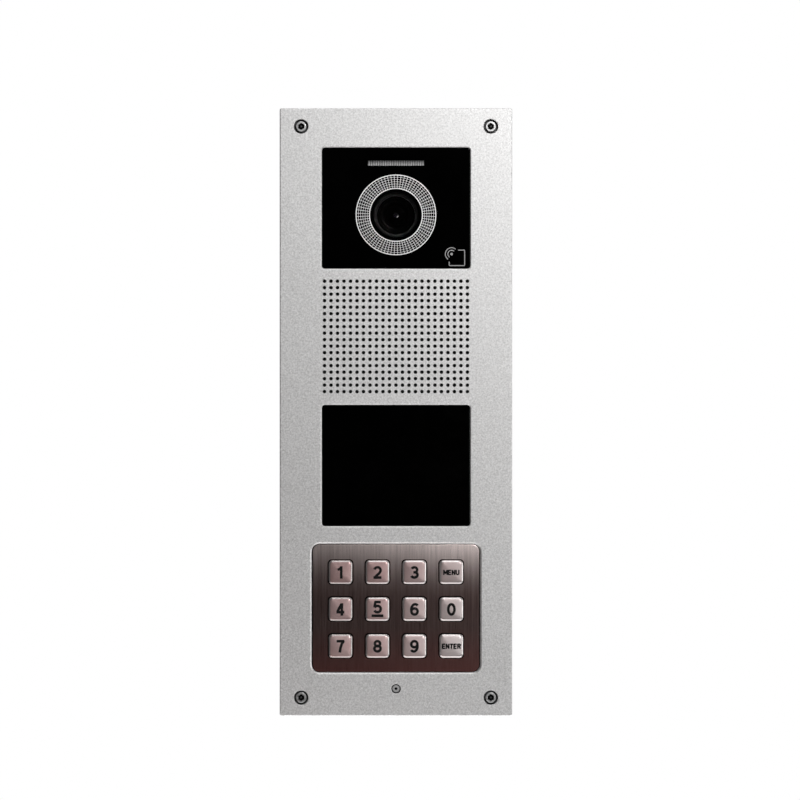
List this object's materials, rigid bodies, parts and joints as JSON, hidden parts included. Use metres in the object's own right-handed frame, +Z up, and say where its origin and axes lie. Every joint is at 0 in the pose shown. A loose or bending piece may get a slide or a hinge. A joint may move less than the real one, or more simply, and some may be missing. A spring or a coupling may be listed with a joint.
{
  "type": "video door station",
  "caption": "Tall aluminium wall panel with a camera window, drilled speaker grille, display window and recessed metal keypad, used to call a flat and open a door.",
  "frame": {"origin": "on the wall plane, at the centre of the panel's outline", "axes": "+Z up, the front faces -Y, +X to the right seen from the front"},
  "size_m": [0.155, 0.0552, 0.405],
  "materials": {
    "blasted_aluminium": "sand-blasted and anodised silver",
    "dark_brushed_steel": "dark, brushed upright",
    "key_metal": "satin, with bright bevelled edges",
    "screw_steel": "plain steel",
    "black_window": "high gloss black",
    "light_diffuser": "ribbed frosted clear",
    "lens_glass": "coated lens",
    "black_plastic": "fine moulded grain",
    "black_rubber": "matt",
    "grey_rubber": "satin grey",
    "grey_foam": "closed-cell foam",
    "silicone": "translucent grey",
    "circuit_board": "green solder mask",
    "speaker_cloth": "black cloth and paper",
    "ferrite": "dark grey",
    "tinned_steel": "bright tinned",
    "terminal_green": "green moulding",
    "lcd_glass": "dark when off"
  },
  "bodies": {
    "station": {"front_panel": "blasted_aluminium", "keypad_plate": "dark_brushed_steel", "panel_screw_1": "screw_steel", "panel_screw_2": "screw_steel", "panel_screw_3": "screw_steel", "panel_screw_4": "screw_steel", "cover_screw_1": "screw_steel", "cover_screw_2": "screw_steel", "cover_screw_3": "screw_steel", "cover_screw_4": "screw_steel", "cover_screw_5": "screw_steel", "cover_screw_6": "screw_steel", "camera_window": "black_window", "display_window": "black_window", "fill_light_lens": "light_diffuser", "lens_element": "lens_glass", "camera_shroud": "black_plastic", "lens_barrel": "black_plastic", "speaker_frame": "black_plastic", "lcd_frame": "black_plastic", "rear_cover": "black_plastic", "tamper_switch": "black_plastic", "screw_retainer_1": "black_plastic", "screw_retainer_2": "black_plastic", "screw_retainer_3": "black_plastic", "screw_retainer_4": "black_plastic", "cover_seal": "black_rubber", "mic_grommet": "grey_rubber", "wall_gasket": "grey_foam", "speaker_gasket": "grey_foam", "keypad_membrane": "silicone", "camera_board": "circuit_board", "fill_light_board": "circuit_board", "reader_antenna": "circuit_board", "keypad_board": "circuit_board", "main_board": "circuit_board", "speaker_mesh": "speaker_cloth", "speaker_cone": "speaker_cloth", "speaker_magnet": "ferrite", "mic_capsule": "tinned_steel", "processor_shield": "tinned_steel", "network_jack": "tinned_steel", "tamper_spring": "tinned_steel", "bus_terminal": "terminal_green", "power_terminal": "terminal_green", "lcd_panel": "lcd_glass"},
    "key_1": {"key_1": "key_metal"},
    "key_2": {"key_2": "key_metal"},
    "key_3": {"key_3": "key_metal"},
    "key_menu": {"key_menu": "key_metal"},
    "key_4": {"key_4": "key_metal"},
    "key_5": {"key_5": "key_metal"},
    "key_6": {"key_6": "key_metal"},
    "key_0": {"key_0": "key_metal"},
    "key_7": {"key_7": "key_metal"},
    "key_8": {"key_8": "key_metal"},
    "key_9": {"key_9": "key_metal"},
    "key_enter": {"key_enter": "key_metal"},
    "tamper_plunger": {"tamper_plunger": "black_plastic"}
  },
  "joints": [
    {"name": "key_1_press", "type": "slide", "parent": "station", "child": "key_1", "axis": [0, 1, 0], "range_m": [0, 0.0012], "stiffness_N_per_m": 1000, "deforming": ["keypad_membrane"]},
    {"name": "key_2_press", "type": "slide", "parent": "station", "child": "key_2", "axis": [0, 1, 0], "range_m": [0, 0.0012], "stiffness_N_per_m": 1000, "deforming": ["keypad_membrane"]},
    {"name": "key_3_press", "type": "slide", "parent": "station", "child": "key_3", "axis": [0, 1, 0], "range_m": [0, 0.0012], "stiffness_N_per_m": 1000, "deforming": ["keypad_membrane"]},
    {"name": "key_menu_press", "type": "slide", "parent": "station", "child": "key_menu", "axis": [0, 1, 0], "range_m": [0, 0.0012], "stiffness_N_per_m": 1000, "deforming": ["keypad_membrane"]},
    {"name": "key_4_press", "type": "slide", "parent": "station", "child": "key_4", "axis": [0, 1, 0], "range_m": [0, 0.0012], "stiffness_N_per_m": 1000, "deforming": ["keypad_membrane"]},
    {"name": "key_5_press", "type": "slide", "parent": "station", "child": "key_5", "axis": [0, 1, 0], "range_m": [0, 0.0012], "stiffness_N_per_m": 1000, "deforming": ["keypad_membrane"]},
    {"name": "key_6_press", "type": "slide", "parent": "station", "child": "key_6", "axis": [0, 1, 0], "range_m": [0, 0.0012], "stiffness_N_per_m": 1000, "deforming": ["keypad_membrane"]},
    {"name": "key_0_press", "type": "slide", "parent": "station", "child": "key_0", "axis": [0, 1, 0], "range_m": [0, 0.0012], "stiffness_N_per_m": 1000, "deforming": ["keypad_membrane"]},
    {"name": "key_7_press", "type": "slide", "parent": "station", "child": "key_7", "axis": [0, 1, 0], "range_m": [0, 0.0012], "stiffness_N_per_m": 1000, "deforming": ["keypad_membrane"]},
    {"name": "key_8_press", "type": "slide", "parent": "station", "child": "key_8", "axis": [0, 1, 0], "range_m": [0, 0.0012], "stiffness_N_per_m": 1000, "deforming": ["keypad_membrane"]},
    {"name": "key_9_press", "type": "slide", "parent": "station", "child": "key_9", "axis": [0, 1, 0], "range_m": [0, 0.0012], "stiffness_N_per_m": 1000, "deforming": ["keypad_membrane"]},
    {"name": "key_enter_press", "type": "slide", "parent": "station", "child": "key_enter", "axis": [0, 1, 0], "range_m": [0, 0.0012], "stiffness_N_per_m": 1000, "deforming": ["keypad_membrane"]},
    {"name": "tamper_press", "type": "slide", "parent": "station", "child": "tamper_plunger", "axis": [0, -1, 0], "range_m": [0, 0.003], "stiffness_N_per_m": 500, "deforming": ["tamper_spring"]}
  ]
}
